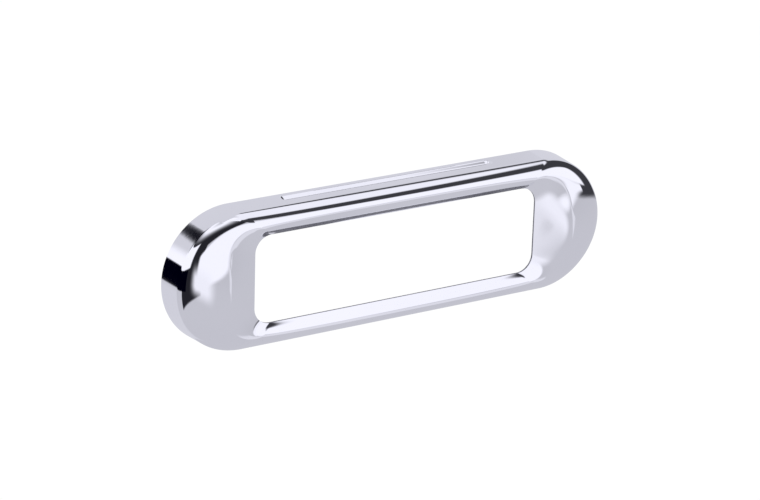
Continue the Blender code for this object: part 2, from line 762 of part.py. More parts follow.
build_surround()
build_carrier()
build_gasket()
build_fixings()
build_hinge()
build_flap_group()
for spring_side, spring_sign in SIDES:
    build_spring(spring_side, spring_sign)
lift_to_origin()
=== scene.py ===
"""Looks of the letter plate: a chrome plated surround with its inner fittings, on a plain pale floor.

The door's face is the plane y = 0. The plate stands off it towards -Y, the front, with its long
side along X and its height along Z. Pieces are made in millimetres from the middle of the opening
and then brought to the frame's metres.
"""
import math

import bmesh
import bpy
import numpy as np
from mathutils import Matrix, Vector


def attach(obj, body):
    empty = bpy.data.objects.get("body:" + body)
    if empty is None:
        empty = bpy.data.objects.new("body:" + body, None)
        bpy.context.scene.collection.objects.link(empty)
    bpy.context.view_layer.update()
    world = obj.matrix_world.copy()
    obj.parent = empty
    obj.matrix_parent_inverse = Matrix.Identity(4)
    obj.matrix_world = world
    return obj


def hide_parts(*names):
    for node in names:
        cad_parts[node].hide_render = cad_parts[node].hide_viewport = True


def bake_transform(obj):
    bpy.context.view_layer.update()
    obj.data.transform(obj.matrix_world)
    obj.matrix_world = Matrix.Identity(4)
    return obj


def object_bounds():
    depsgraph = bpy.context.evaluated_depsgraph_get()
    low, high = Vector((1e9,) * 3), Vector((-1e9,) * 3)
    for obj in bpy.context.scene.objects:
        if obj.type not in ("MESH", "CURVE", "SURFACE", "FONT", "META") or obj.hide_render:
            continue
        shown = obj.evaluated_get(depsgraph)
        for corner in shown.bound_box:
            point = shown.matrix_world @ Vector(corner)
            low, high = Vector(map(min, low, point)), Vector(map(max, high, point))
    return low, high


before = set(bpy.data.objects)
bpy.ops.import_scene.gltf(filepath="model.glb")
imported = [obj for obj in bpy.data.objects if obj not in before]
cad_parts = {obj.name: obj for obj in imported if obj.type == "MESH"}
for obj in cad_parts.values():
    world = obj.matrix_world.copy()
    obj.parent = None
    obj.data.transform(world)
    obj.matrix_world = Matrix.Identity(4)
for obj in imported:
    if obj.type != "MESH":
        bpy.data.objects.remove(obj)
cad_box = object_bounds()

# ---------------------------------------------------------------- main sizes, millimetres
MM = 0.001
RISE = 37.2                       # height of the opening's middle above the floor frame
HALF_LEN, HALF_H = 132.0, 38.2    # outline at the door
DRAFT, WALL = 0.9, 16.7           # lean of the outer wall over its depth
OPEN_A, OPEN_B, OPEN_R = 87.2, 24.4, 9.5    # opening: half length, half height, corner radius
LIP = 18.1                        # how far the lip of the opening stands off the door
SKIN, LIP_THICK = 2.0, 1.1
LIP_EDGE = 0.04                   # from the polished lip back to the start of the casting's rough face, which is painted darker as shade
LINER_DEPTH, LINER_LEAN = 12.0, 14    # inner wall behind the skin: its depth, the depth its lean spans

# dome over the long rails and over the broad ends: crest height, width of the shoulder, height of
# the straight wall under it, exponent of the shoulder's curve, how early the slope inside the crest
# falls (a power of ten), and how hollow it is
RAIL = dict(crest=21.6, wide=6.2, wall=13.0, curve=1.65, soft=1.4, hollow=0.4)
END = dict(crest=27.9, wide=25.0, wall=15.3, curve=1.65, soft=-0.6, hollow=0.1)
# how quickly each goes from rail to end
SWELL = dict(crest=3.0, wide=1.9, wall=1.0, curve=1.0, soft=2.6, hollow=1.0)
BLUR_REACH, BLUR_WIDTH = 0.04, 0.3    # smoothing of that change: share of the outline, share of the reach

# finger groove along the top wall; its round bottom takes up GROOVE_ROUND of its half width
GROOVE_HALF, GROOVE_MID, GROOVE_WIDE, GROOVE_DEEP = 65.5, 5.6, 2.5, 1.3
GROOVE_ROUND = 0.4

AROUND = 1200                     # points round each ring of the surround
WALL_RINGS, SHOULDER_RINGS, SLOPE_RINGS, LINER_RINGS = 53, 26, 26, 6

HINGE_Y, HINGE_Z = -11.0, 28.6
HINGE = (0, HINGE_Y, HINGE_Z)
FLAP_REST = math.radians(67)      # how far the flap has swung in from hanging straight down
POST_X = 115.0
SCREW_X, SCREW_Z = 107.0, 21.0
SPRING_X = (61.2, 74.8)           # where the spring's coil starts and ends
SIDES = (("left", -1), ("right", 1))


# ---------------------------------------------------------------- mesh helpers
def new_object(name, data):
    obj = bpy.data.objects.new(name, data)
    bpy.context.scene.collection.objects.link(obj)
    return obj


def mesh_of(name, bm):
    mesh = bpy.data.meshes.new(name)
    bm.to_mesh(mesh)
    bm.free()
    return mesh


def evaluated_mesh(obj):
    bpy.context.view_layer.update()
    graph = bpy.context.evaluated_depsgraph_get()
    return bpy.data.meshes.new_from_object(obj.evaluated_get(graph))


def outward(mesh):
    """Turns the faces of a closed mesh outwards."""
    bm = bmesh.new()
    bm.from_mesh(mesh)
    bmesh.ops.recalc_face_normals(bm, faces=bm.faces)
    if bm.calc_volume(signed=True) < 0:
        bmesh.ops.reverse_faces(bm, faces=bm.faces)
    bm.to_mesh(mesh)
    bm.free()


def weld(mesh):
    bm = bmesh.new()
    bm.from_mesh(mesh)
    bmesh.ops.remove_doubles(bm, verts=bm.verts, dist=1e-4)
    bmesh.ops.recalc_face_normals(bm, faces=bm.faces)
    bm.to_mesh(mesh)
    bm.free()


def smooth(obj, degrees):
    obj.data.shade_smooth()
    obj.data.set_sharp_from_angle(angle=math.radians(degrees))


def bake(obj):
    """The object's modifiers become its mesh."""
    mesh = evaluated_mesh(obj)
    obj.modifiers.clear()
    old = obj.data
    obj.data = mesh
    if old.users == 0:
        bpy.data.meshes.remove(old)
    return obj


def rounded(obj, width, segments=2, angle=35):
    bevel = obj.modifiers.new("edge", "BEVEL")
    bevel.width = width
    bevel.segments = segments
    bevel.limit_method = "ANGLE"
    bevel.angle_limit = math.radians(angle)
    bevel.use_clamp_overlap = True
    return bake(obj)


def combine(obj, tool, how):
    cut = obj.modifiers.new("cut", "BOOLEAN")
    cut.operation = how
    cut.object = tool
    cut.solver = "EXACT"
    bake(obj)
    bpy.data.objects.remove(tool)


def curve_mesh(curve, lines):
    """The mesh of a curve given its lines of points, each open or closed as the curve is flat or not."""
    flat = curve.dimensions == "2D"
    for points in lines:
        line = curve.splines.new("POLY")
        line.points.add(len(points) - 1)
        for point, place in zip(line.points, points):
            point.co = (*place, 1)
        if flat:
            line.use_cyclic_u = True
    holder = new_object(curve.name, curve)
    mesh = evaluated_mesh(holder)
    bpy.data.objects.remove(holder)
    return mesh


def sheet(name, outlines, front, rear):
    """A flat piece in the XZ plane, between two places in y; outlines after the first are holes."""
    curve = bpy.data.curves.new(name, "CURVE")
    curve.dimensions = "2D"
    curve.fill_mode = "BOTH"
    curve.extrude = (rear - front) / 2
    mesh = curve_mesh(curve, [[(x, z, 0) for x, z in points] for points in outlines])
    middle = Matrix.Translation((0, (front + rear) / 2, 0))
    mesh.transform(middle @ Matrix.Rotation(math.pi / 2, 4, "X"))
    weld(mesh)
    return new_object(name, mesh)


def arc(mid_x, mid_z, radius, start, end, steps):
    angles = [math.radians(start + (end - start) * i / steps) for i in range(steps + 1)]
    return [(mid_x + radius * math.cos(a), mid_z + radius * math.sin(a)) for a in angles]


def circle(x, z, radius, steps):
    return arc(x, z, radius, 0, 360 - 360 / steps, steps - 1)


def stadium(half_len, radius):
    x = half_len - radius
    return arc(x, 0, radius, -90, 90, 48) + arc(-x, 0, radius, 90, 270, 48)


def round_box(half_len, low, high, radius, steps=12):
    x = half_len - radius
    return (arc(x, low + radius, radius, -90, 0, steps)
            + arc(x, high - radius, radius, 0, 90, steps)
            + arc(-x, high - radius, radius, 90, 180, steps)
            + arc(-x, low + radius, radius, 180, 270, steps))


def turned(name, profile, steps, axis, centre, shape=None):
    """A turned piece. profile: (radius, place along the axis); a last point equal to the first
    makes a ring. shape(radius, place, angle) may change the radius, for threads and knurls."""
    ring = profile[0] == profile[-1]
    bm = bmesh.new()
    rows = []
    for radius, along in profile[:-1] if ring else profile:
        if radius < 1e-6:
            rows.append([bm.verts.new((0, 0, along))] * steps)
            continue
        row = []
        for i in range(steps):
            angle = 2 * math.pi * i / steps
            reach = shape(radius, along, angle) if shape else radius
            row.append(bm.verts.new((reach * math.cos(angle), reach * math.sin(angle), along)))
        rows.append(row)
    pairs = list(zip(rows, rows[1:]))
    if ring:
        pairs.append((rows[-1], rows[0]))
    for low, high in pairs:
        for i in range(steps):
            j = (i + 1) % steps
            corners = list(dict.fromkeys((low[i], low[j], high[j], high[i])))
            if len(corners) > 2:
                bm.faces.new(corners)
    bmesh.ops.recalc_face_normals(bm, faces=bm.faces)
    mesh = mesh_of(name, bm)
    x, y, z = centre
    if axis == "Y":      # the local axis runs along +Y
        turn = Matrix(((1, 0, 0, x), (0, 0, 1, y), (0, 1, 0, z), (0, 0, 0, 1)))
    else:                # along +X
        turn = Matrix(((0, 0, 1, x), (1, 0, 0, y), (0, 1, 0, z), (0, 0, 0, 1)))
    mesh.transform(turn)
    outward(mesh)
    return new_object(name, mesh)


def runs(radius, start, end, step):
    """Profile points along a straight stretch, about a step apart."""
    count = max(1, int(round(abs(end - start) / step)))
    return [(radius, start + (end - start) * i / count) for i in range(count + 1)]


def thread(pitch, depth, low, high, base):
    """Rises and falls once a pitch along a helix, fading in and out at its two ends."""
    def shape(radius, along, angle):
        if abs(radius - base) > 0.05 or not low <= along <= high:
            return radius
        phase = (along / pitch + angle / (2 * math.pi)) % 1.0
        wave = 1 - abs(2 * phase - 1)
        fade = min(1.0, (along - low) / pitch, (high - along) / pitch)
        return radius - depth * (1 - wave) * max(fade, 0)
    return shape


def knurl(depth, low, high, base, count):
    """Two crossing sets of count helical cuts, fading out over the last half millimetre."""
    def shape(radius, along, angle):
        if abs(radius - base) > 0.05 or not low < along < high:
            return radius
        turn = count * angle / (2 * math.pi)
        climb = count * along / (2 * math.pi * base)
        one = abs(((turn + climb) % 1.0) * 2 - 1)
        two = abs(((turn - climb) % 1.0) * 2 - 1)
        fade = min(1.0, (along - low) / 0.5, (high - along) / 0.5)
        return radius - depth * (1 - min(one, two)) * max(fade, 0)
    return shape


def block(name, low, high):
    bm = bmesh.new()
    bmesh.ops.create_cube(bm, size=1.0)
    bmesh.ops.scale(bm, vec=[b - a for a, b in zip(low, high)], verts=bm.verts)
    bmesh.ops.translate(bm, vec=[(a + b) / 2 for a, b in zip(low, high)], verts=bm.verts)
    return new_object(name, mesh_of(name, bm))


def hull(name, points):
    """The convex solid round the points."""
    bm = bmesh.new()
    for point in points:
        bm.verts.new(point)
    found = bmesh.ops.convex_hull(bm, input=bm.verts)
    inside = [g for g in found["geom_interior"] if isinstance(g, bmesh.types.BMVert)]
    bmesh.ops.delete(bm, geom=inside, context="VERTS")
    bmesh.ops.recalc_face_normals(bm, faces=bm.faces)
    return new_object(name, mesh_of(name, bm))


# ---------------------------------------------------------------- the surround
def plate_outline():
    """Points round the outline, anticlockwise from the middle of its right end as seen from the
    front, with their outward directions."""
    straight = HALF_LEN - HALF_H
    quarter = math.pi * HALF_H / 2
    total = 4 * quarter + 4 * straight
    rows = []
    for along in np.arange(AROUND) / AROUND * total:
        if along < quarter:
            angle, middle = along / HALF_H, straight
        elif along < quarter + 2 * straight:
            angle, middle = math.pi / 2, straight - (along - quarter)
        elif along < 3 * quarter + 2 * straight:
            angle = math.pi / 2 + (along - quarter - 2 * straight) / HALF_H
            middle = -straight
        elif along < 3 * quarter + 4 * straight:
            angle, middle = -math.pi / 2, -straight + (along - 3 * quarter - 2 * straight)
        else:
            angle = -math.pi / 2 + (along - 3 * quarter - 4 * straight) / HALF_H
            middle = straight
        out_x, out_z = math.cos(angle), math.sin(angle)
        rows.append((middle + HALF_H * out_x, HALF_H * out_z, out_x, out_z))
    return np.array(rows).T


def opening_points(x, z):
    """The point of the opening's edge that each outline point is joined to."""
    straight = HALF_LEN - HALF_H
    edge_x, edge_z = np.empty_like(x), np.empty_like(z)
    flat = np.abs(x) <= straight
    edge_x[flat] = x[flat] / straight * (OPEN_A - OPEN_R)
    edge_z[flat] = np.copysign(OPEN_B, z[flat])
    end = ~flat
    angle = np.arctan2(z[end], np.abs(x[end]) - straight)
    corner, half = math.pi * OPEN_R / 2, OPEN_B - OPEN_R
    along = np.abs(angle) / (math.pi / 2) * (corner + half)
    turn = np.maximum(along - half, 0) / OPEN_R
    end_x = np.where(along < half, OPEN_A, OPEN_A - OPEN_R + OPEN_R * np.cos(turn))
    end_z = np.where(along < half, along, half + OPEN_R * np.sin(turn))
    edge_x[end] = np.sign(x[end]) * end_x
    edge_z[end] = np.copysign(end_z, angle)
    return edge_x, edge_z


def endness(across):
    """0 on the narrow rails to 1 on the broad ends, smoothed round the outline."""
    share = (across - across.min()) / (across.max() - across.min())
    reach = int(round(AROUND * BLUR_REACH))
    kernel = np.exp(-0.5 * (np.arange(-reach, reach + 1) / (reach * BLUR_WIDTH)) ** 2)
    kernel /= kernel.sum()
    share = np.convolve(np.r_[share[-reach:], share, share[:reach]], kernel, "valid")
    return np.clip(share, 1e-6, 1)


def shell_rings(x, z, out_x, out_z):
    """Rings of the polished face, from the door up the wall, over the crest and down to the lip."""
    edge_x, edge_z = opening_points(x, z)
    end_share = endness(np.hypot(x - edge_x, z - edge_z))

    def between(key):
        return RAIL[key] + (END[key] - RAIL[key]) * end_share ** SWELL[key]

    crest, wide, wall, curve = (between(key) for key in ("crest", "wide", "wall", "curve"))
    soft = 10.0 ** between("soft")
    hollow = between("hollow")
    lean = DRAFT * wall / WALL
    top_x, top_z = x - out_x * lean, z - out_z * lean
    length = np.hypot(top_x - edge_x, top_z - edge_z)
    slant = np.abs(((top_x - edge_x) * out_x + (top_z - edge_z) * out_z) / length)
    shoulder = np.clip(wide / (length * np.maximum(slant, 0.5)), 0.05, 0.95)
    rings = []

    def add_ring(share, height):
        rings.append(np.stack([top_x + (edge_x - top_x) * share, -height,
                               top_z + (edge_z - top_z) * share], -1))

    for rise in np.linspace(0, 1, WALL_RINGS):
        depth = rise * wall
        off = DRAFT * depth / WALL
        rings.append(np.stack([x - out_x * off, -depth, z - out_z * off], -1))
    power = 2.0 / curve
    for angle in np.linspace(0, math.pi / 2, SHOULDER_RINGS + 1)[1:]:
        inward = 1 - max(math.cos(angle), 0.0) ** power
        add_ring(shoulder * inward, wall + (crest - wall) * math.sin(angle) ** power)
    for part in np.linspace(0, 1, SLOPE_RINGS + 1)[1:] ** 1.25:
        fall = part * part * (1 + soft) / (part + soft)
        fall = fall + hollow * fall * (1 - fall)
        add_ring(shoulder + (1 - shoulder) * part, crest - (crest - LIP) * fall)
    return np.array(rings)


def grid_normals(grid):
    down = np.gradient(grid, axis=0)
    closed = np.concatenate([grid[:, -1:], grid, grid[:, :1]], 1)
    along = (closed[:, 2:] - closed[:, :-2]) / 2
    normal = np.cross(along, down)
    normal /= np.maximum(np.linalg.norm(normal, axis=-1, keepdims=True), 1e-9)
    return normal if normal[..., 1].mean() < 0 else -normal


def cut_groove(outer):
    """Sinks a shallow, round-ended scoop into the top wall."""
    top = (outer[..., 2] > 30) & (outer[..., 1] > -14)
    reach = np.maximum(np.abs(outer[..., 0]) - GROOVE_HALF + GROOVE_WIDE, 0)
    away = np.hypot(reach, outer[..., 1] + GROOVE_MID) / GROOVE_WIDE
    full = 1 - GROOVE_ROUND / 2
    bottom = full - away ** 2 / (2 * GROOVE_ROUND)
    side = np.where(away < GROOVE_ROUND, bottom, 1 - away) / full
    outer[..., 2] -= GROOVE_DEEP * np.where(top & (away < 1), side, 0)


def surround_piece(name):
    x, z, out_x, out_z = plate_outline()
    outer = shell_rings(x, z, out_x, out_z)
    inner = outer - grid_normals(outer) * SKIN
    cut_groove(outer)
    polished = len(outer)
    lip = outer[-1]
    rows = list(outer)
    rows.append(lip + np.array([0, LIP_EDGE, 0]))
    rows.append(lip + np.array([0, LIP_THICK, 0]))
    rows += [inner[i] for i in range(len(inner) - 4, WALL_RINGS, -2)]
    # the inner wall runs back to the door, where the rear rim closes it
    for rise in np.linspace(0.98, 0.0, LINER_RINGS):
        off = SKIN + DRAFT * rise * LINER_LEAN / WALL
        depth = np.full(AROUND, -rise * LINER_DEPTH)
        rows.append(np.stack([x - out_x * off, depth, z - out_z * off], -1))
    grid = np.array(rows)
    grid[..., 2] += RISE
    grid *= MM
    total = len(grid)
    faces = []
    for j in range(total):
        k = (j + 1) % total
        for i in range(AROUND):
            n = (i + 1) % AROUND
            faces.append((j * AROUND + i, j * AROUND + n, k * AROUND + n, k * AROUND + i))
    mesh = bpy.data.meshes.new(name)
    mesh.from_pydata([tuple(v) for v in grid.reshape(-1, 3)], [], faces)
    mesh.update()
    outward(mesh)
    # 1 on the unpolished inside of the casting, painted darker there as shade, 0 on its polished face
    inside = mesh.attributes.new("inside", "FLOAT", "POINT")
    marks = np.repeat(np.arange(total) >= polished, AROUND).astype(np.float32)
    inside.data.foreach_set("value", marks)
    return new_object(name, mesh)


# ---------------------------------------------------------------- node helpers
class Tree:
    """A material's or the world's nodes, with short calls for the sums."""

    def __init__(self, owner):
        owner.use_nodes = True
        self.tree = owner.node_tree
        self.tree.nodes.clear()

    def add(self, kind, **values):
        node = self.tree.nodes.new(kind)
        for key, value in values.items():
            setattr(node, key, value)
        return node

    def link(self, source, target):
        self.tree.links.new(source, target)

    def put(self, socket, value):
        """Links a socket or sets a value; a three-part value is an opaque colour."""
        if isinstance(value, bpy.types.NodeSocket):
            self.link(value, socket)
        elif isinstance(value, tuple):
            socket.default_value = (*value, 1)
        else:
            socket.default_value = value

    def calc(self, operation, *values):
        node = self.add("ShaderNodeMath", operation=operation)
        for i, value in enumerate(values):
            self.put(node.inputs[i], value)
        return node.outputs[0]

    def line(self, value, span, to, kind="LINEAR"):
        """Maps the span of the value onto the two ends in to."""
        node = self.add("ShaderNodeMapRange", interpolation_type=kind)
        self.put(node.inputs["Value"], value)
        for key, number in zip(("From Min", "From Max", "To Min", "To Max"), (*span, *to)):
            node.inputs[key].default_value = number
        return node.outputs[0]

    def step(self, value, span, to=(0.0, 1.0)):
        return self.line(value, span, to, "SMOOTHSTEP")

    def mix(self, share, low, high):
        node = self.add("ShaderNodeMix", data_type="RGBA")
        self.put(node.inputs["Factor"], share)
        self.put(node.inputs["A"], low)
        self.put(node.inputs["B"], high)
        return node.outputs["Result"]

    def tone(self, value, low, high, span=(0.35, 0.65), share=(0, 1)):
        """From the low colour to the high one as the value crosses the span."""
        return self.mix(self.line(value, span, share), low, high)


class Surface(Tree):
    """A material with one principled shader, its textures laid in object space."""

    def __init__(self, name):
        self.material = bpy.data.materials.new(name)
        super().__init__(self.material)
        out = self.add("ShaderNodeOutputMaterial")
        self.shade = self.add("ShaderNodeBsdfPrincipled")
        self.link(self.shade.outputs["BSDF"], out.inputs["Surface"])
        self.coord = self.add("ShaderNodeTexCoord").outputs["Object"]

    def noise(self, scale=1.0, detail=3.0, rough=0.5, stretch=None):
        """Noise; stretch scales the three axes apart, for drawn-out grain."""
        vector = self.coord
        if stretch:
            mapping = self.add("ShaderNodeMapping")
            mapping.inputs["Scale"].default_value = stretch
            self.link(vector, mapping.inputs["Vector"])
            vector = mapping.outputs["Vector"]
        node = self.add("ShaderNodeTexNoise")
        node.inputs["Scale"].default_value = scale
        node.inputs["Detail"].default_value = detail
        node.inputs["Roughness"].default_value = rough
        self.link(vector, node.inputs["Vector"])
        return node.outputs["Fac"]

    def bump(self, height, strength, distance):
        node = self.add("ShaderNodeBump")
        node.inputs["Strength"].default_value = strength
        node.inputs["Distance"].default_value = distance
        self.link(height, node.inputs["Height"])
        return node.outputs["Normal"]

    def finish(self, **sockets):
        """Fills the shader's inputs: base_color goes to Base Color, and so on."""
        for name, value in sockets.items():
            self.put(self.shade.inputs[name.replace("_", " ").title()], value)
        return self.material


# ---------------------------------------------------------------- materials
def chrome_plate():
    """Mirror chrome outside; the attribute "inside" marks the casting's rough face behind it, painted
    dark as shade where the lip's inner wall shows.
    """
    look = Surface("chrome_plate")
    cloud = look.noise(scale=22.0, detail=4.0)
    fine = look.noise(stretch=(60, 900, 900), detail=2.0)
    grain = look.noise(scale=900.0, detail=4.0)
    rough_and_shaded_face = look.add("ShaderNodeAttribute", attribute_name="inside").outputs["Fac"]
    mirror = look.tone(cloud, low=(0.945, 0.945, 0.965), high=(0.925, 0.925, 0.95))
    # painted shade: the dark colour of the casting's rough face stands in for the dark parts behind the
    # opening that the lip's inner wall would mirror
    shaded_rough_colour = look.tone(grain, low=(0.30, 0.30, 0.32), high=(0.42, 0.42, 0.44))
    cast_roughness = 0.4
    return look.finish(
        base_color=look.mix(rough_and_shaded_face, low=mirror, high=shaded_rough_colour),
        metallic=1.0,
        roughness=look.calc("ADD", look.line(cloud, span=(0.3, 0.7), to=(0.028, 0.055)),
                            look.calc("MULTIPLY", rough_and_shaded_face, cast_roughness)),
        normal=look.bump(fine, strength=0.012, distance=0.0002))


def brushed_aluminium():
    look = Surface("satin_aluminium")
    lines = look.noise(stretch=(35, 2600, 2600), detail=4.0, rough=0.7)
    cloud = look.noise(scale=40.0, detail=4.0)
    scuff = look.noise(stretch=(260, 900, 900), detail=5.0, rough=0.75)
    brushed = look.tone(lines, low=(0.72, 0.725, 0.74), high=(0.86, 0.865, 0.875), span=(0.3, 0.7))
    return look.finish(
        base_color=look.tone(scuff, low=brushed, high=(0.60, 0.60, 0.61),
                             span=(0.62, 0.78), share=(0, 0.5)),
        metallic=1.0,
        roughness=look.calc("ADD", look.line(lines, span=(0.25, 0.75), to=(0.22, 0.36)),
                            look.line(cloud, span=(0.35, 0.65), to=(-0.02, 0.06))),
        normal=look.bump(lines, strength=0.16, distance=0.00025))


def moulded_nylon():
    look = Surface("black_nylon")
    grain = look.noise(scale=2400.0, detail=3.0, rough=0.6)
    cloud = look.noise(scale=60.0, detail=5.0)
    flow = look.noise(stretch=(40, 160, 160), detail=4.0)
    black = look.tone(cloud, low=(0.018, 0.018, 0.020), high=(0.034, 0.034, 0.037),
                      span=(0.35, 0.7))
    return look.finish(
        base_color=look.tone(flow, low=black, high=(0.055, 0.055, 0.058),
                             span=(0.58, 0.72), share=(0, 0.35)),
        roughness=look.line(cloud, span=(0.3, 0.7), to=(0.42, 0.58)),
        normal=look.bump(grain, strength=0.25, distance=0.00012))


def foam():
    look = Surface("grey_foam")
    cells = look.add("ShaderNodeTexVoronoi")
    cells.inputs["Scale"].default_value = 1500.0
    look.link(look.coord, cells.inputs["Vector"])
    pores = cells.outputs["Distance"]
    cloud = look.noise(scale=90.0, detail=4.0)
    base = look.tone(cloud, low=(0.125, 0.128, 0.135), high=(0.185, 0.188, 0.195))
    return look.finish(
        base_color=look.tone(pores, low=base, high=(0.045, 0.045, 0.05),
                             span=(0.0, 0.35), share=(0.75, 0)),
        roughness=look.line(cloud, span=(0.3, 0.7), to=(0.82, 0.95)),
        normal=look.bump(pores, strength=0.7, distance=0.0003),
        sheen_weight=0.2)


def metal(name, dark, light, roughness, marks):
    """Clouded, spotted metal with fine marks; marks scales them along the three axes."""
    look = Surface(name)
    cloud = look.noise(scale=120.0, detail=5.0, rough=0.6)
    turned_marks = look.noise(stretch=marks, detail=3.0)
    spots = look.noise(scale=700.0, detail=4.0, rough=0.7)
    clean = look.tone(cloud, low=dark, high=light)
    return look.finish(
        base_color=look.tone(spots, low=clean, high=tuple(0.55 * c for c in dark),
                             span=(0.64, 0.74), share=(0, 0.6)),
        metallic=1.0,
        roughness=look.line(cloud, span=(0.3, 0.7), to=roughness),
        normal=look.bump(turned_marks, strength=0.12, distance=0.0001))


def rubber():
    look = Surface("black_rubber")
    grain = look.noise(scale=1800.0, detail=4.0, rough=0.65)
    dust = look.noise(scale=150.0, detail=5.0, rough=0.7)
    return look.finish(
        base_color=look.tone(dust, low=(0.014, 0.014, 0.015), high=(0.060, 0.059, 0.057),
                             span=(0.55, 0.75), share=(0, 0.45)),
        roughness=look.line(dust, span=(0.3, 0.7), to=(0.62, 0.85)),
        normal=look.bump(grain, strength=0.3, distance=0.00015))


def acetal():
    look = Surface("white_acetal")
    cloud = look.noise(scale=220.0, detail=4.0)
    grain = look.noise(scale=2600.0, detail=2.0)
    return look.finish(
        base_color=look.tone(cloud, low=(0.80, 0.79, 0.76), high=(0.88, 0.87, 0.85)),
        roughness=look.line(cloud, span=(0.3, 0.7), to=(0.3, 0.42)),
        subsurface_weight=0.12,
        subsurface_scale=0.001,
        normal=look.bump(grain, strength=0.1, distance=0.0001))


# ---------------------------------------------------------------- the studio, mirrored in the chrome
# Angles are in degrees: azimuth from the front (-Y), positive to the right (+X). Levels are display
# levels from 0 to 255. The height of a "sky" panel is its elevation; that of a "front" panel is its
# tilt above the horizon seen along Y, and it shows in the front half only. Later panels cover earlier.
BASE = (195, 185)                                       # below and above the horizon
PANELS = [  # kind, azimuth from, to, height from, to, shear, soft sides, soft top and bottom, level
    ("sky", -145, 140, 41, 92, 0.25, 3, 2, 40),         # dark gap between the front box and the roof
    ("sky", -185, 190, 66, 95, 0.1, 8, 14, 250),        # roof
    ("sky", -75, -22, -30, 41, 0.4, 1, 2, 40),          # dark room on the left
    ("sky", -145, -57, -15, 12, 0, 1, 1, 0),            # black flag
    ("sky", -170, -52, 9, 42, 0.1, 3, 1, 250),          # strip light behind on the left
    ("sky", 92, 217, -30, 95, -1, 2, 1, 208),           # rear wall
    ("sky", -165, -136, 30, 47, -0.6, 1, 1, 0),         # doorway in the rear wall
    ("sky", 45, 143, -6, 57, -0.25, 2, 2, 60),          # dark room on the right
    ("sky", 47, 124, 67, 92, 0.1, 1, 1, 250),           # overhead box on the right
    ("sky", 115, 145, -16, 42, -0.4, 3, 3, 210),        # low reflector on the right
    ("front", -30, 78, 4, 48, 0.35, 3, 3, 248),         # key box
    ("sky", -39, -5, -22, 7, -0.45, 8, 10, 240),        # fill under the key box
    ("sky", 25, 42, -25, 0, -0.9, 3, 1, 220),           # table edge
    ("front", 34, 67, 6, 16, 0.25, 1, 3, 245),          # right part of the key box
    ("sky", 60, 137, 54.5, 70, -0.2, 1, 2, 240),        # long overhead light along the rail
]
DISPLAY_POWER, STUDIO_GAIN = 2.2, 1.07    # display level to linear light, a little over-bright
TINT = (0.970, 0.971, 1.066)              # share of the light in each channel
BLUE_FLOOR = 0.004                        # blue left in the darkest parts
PAPER_GLOW = 1.02                         # strength of the white floor and backdrop
WHITE = (1, 1, 1, 1)


def world_light():
    world = bpy.data.worlds.new("studio")
    bpy.context.scene.world = world
    tree = Tree(world)
    calc, step = tree.calc, tree.step
    out = tree.add("ShaderNodeOutputWorld")
    direction = tree.add("ShaderNodeTexCoord").outputs["Generated"]
    split = tree.add("ShaderNodeSeparateXYZ")
    tree.link(direction, split.inputs[0])
    x, y, z = split.outputs
    ahead = calc("MULTIPLY", y, -1.0)
    azimuth = calc("DEGREES", calc("ARCTAN2", x, ahead))
    elevation = calc("DEGREES", calc("ARCSINE", z))
    tilt = calc("DEGREES", calc("ARCTAN2", z, calc("MAXIMUM", ahead, 0.001)))
    level = step(elevation, span=(-35, 35), to=BASE)
    for kind, start, end, low, high, shear, side_soft, height_soft, value in PANELS:
        middle, half = (start + end) / 2, (end - start) / 2
        off = calc("WRAP", calc("SUBTRACT", azimuth, middle), 180.0, -180.0)
        height = tilt if kind == "front" else elevation
        if shear:
            height = calc("SUBTRACT", height, calc("MULTIPLY", off, shear))
        across = step(calc("ABSOLUTE", off), span=(half - side_soft, half + side_soft), to=(1, 0))
        up = calc("SUBTRACT", step(height, span=(low - height_soft, low + height_soft)),
                  step(height, span=(high - height_soft, high + height_soft)))
        mask = calc("MULTIPLY", across, up)
        if kind == "front":
            mask = calc("MULTIPLY", mask, calc("GREATER_THAN", ahead, 0.0))
        node = tree.add("ShaderNodeMix", data_type="FLOAT")
        tree.link(mask, node.inputs["Factor"])
        tree.link(level, node.inputs["A"])
        node.inputs["B"].default_value = value
        level = node.outputs["Result"]
    linear = calc("POWER", calc("DIVIDE", level, 255.0), DISPLAY_POWER)
    light = calc("MULTIPLY", linear, STUDIO_GAIN)
    colour = tree.add("ShaderNodeCombineColor")
    red, green, blue = (calc("MULTIPLY", light, share) for share in TINT)
    tree.link(red, colour.inputs[0])
    tree.link(green, colour.inputs[1])
    tree.link(calc("ADD", blue, BLUE_FLOOR), colour.inputs[2])
    studio = tree.add("ShaderNodeBackground")
    tree.link(colour.outputs[0], studio.inputs["Color"])
    # the camera itself sees plain white paper
    paper = tree.add("ShaderNodeBackground")
    paper.inputs["Color"].default_value = WHITE
    paper.inputs["Strength"].default_value = PAPER_GLOW
    mix = tree.add("ShaderNodeMixShader")
    tree.link(tree.add("ShaderNodeLightPath").outputs["Is Camera Ray"], mix.inputs[0])
    tree.link(studio.outputs[0], mix.inputs[1])
    tree.link(paper.outputs[0], mix.inputs[2])
    tree.link(mix.outputs[0], out.inputs["Surface"])


# ---------------------------------------------------------------- inner pieces
# Tables headed (radius, place) are profiles of turned pieces, the place being along their axis.
def fit(obj, material, body, node, on_flap=False, soft=35):
    """Millimetres to the frame's metres, then finish, body and CAD node. Flap pieces are made
    hanging straight down from the hinge axis and are swung to rest here."""
    move = Matrix.Scale(MM, 4) @ Matrix.Translation((0, 0, RISE))
    if on_flap:
        move = move @ Matrix.Translation(HINGE) @ Matrix.Rotation(FLAP_REST, 4, "X")
    obj.data.transform(move)
    obj.data.materials.clear()
    obj.data.materials.append(material)
    smooth(obj, soft)
    obj.visible_glossy = False    # the polish mirrors the studio, not the parts behind it
    if body:
        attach(obj, body)
    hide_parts(node)
    return obj


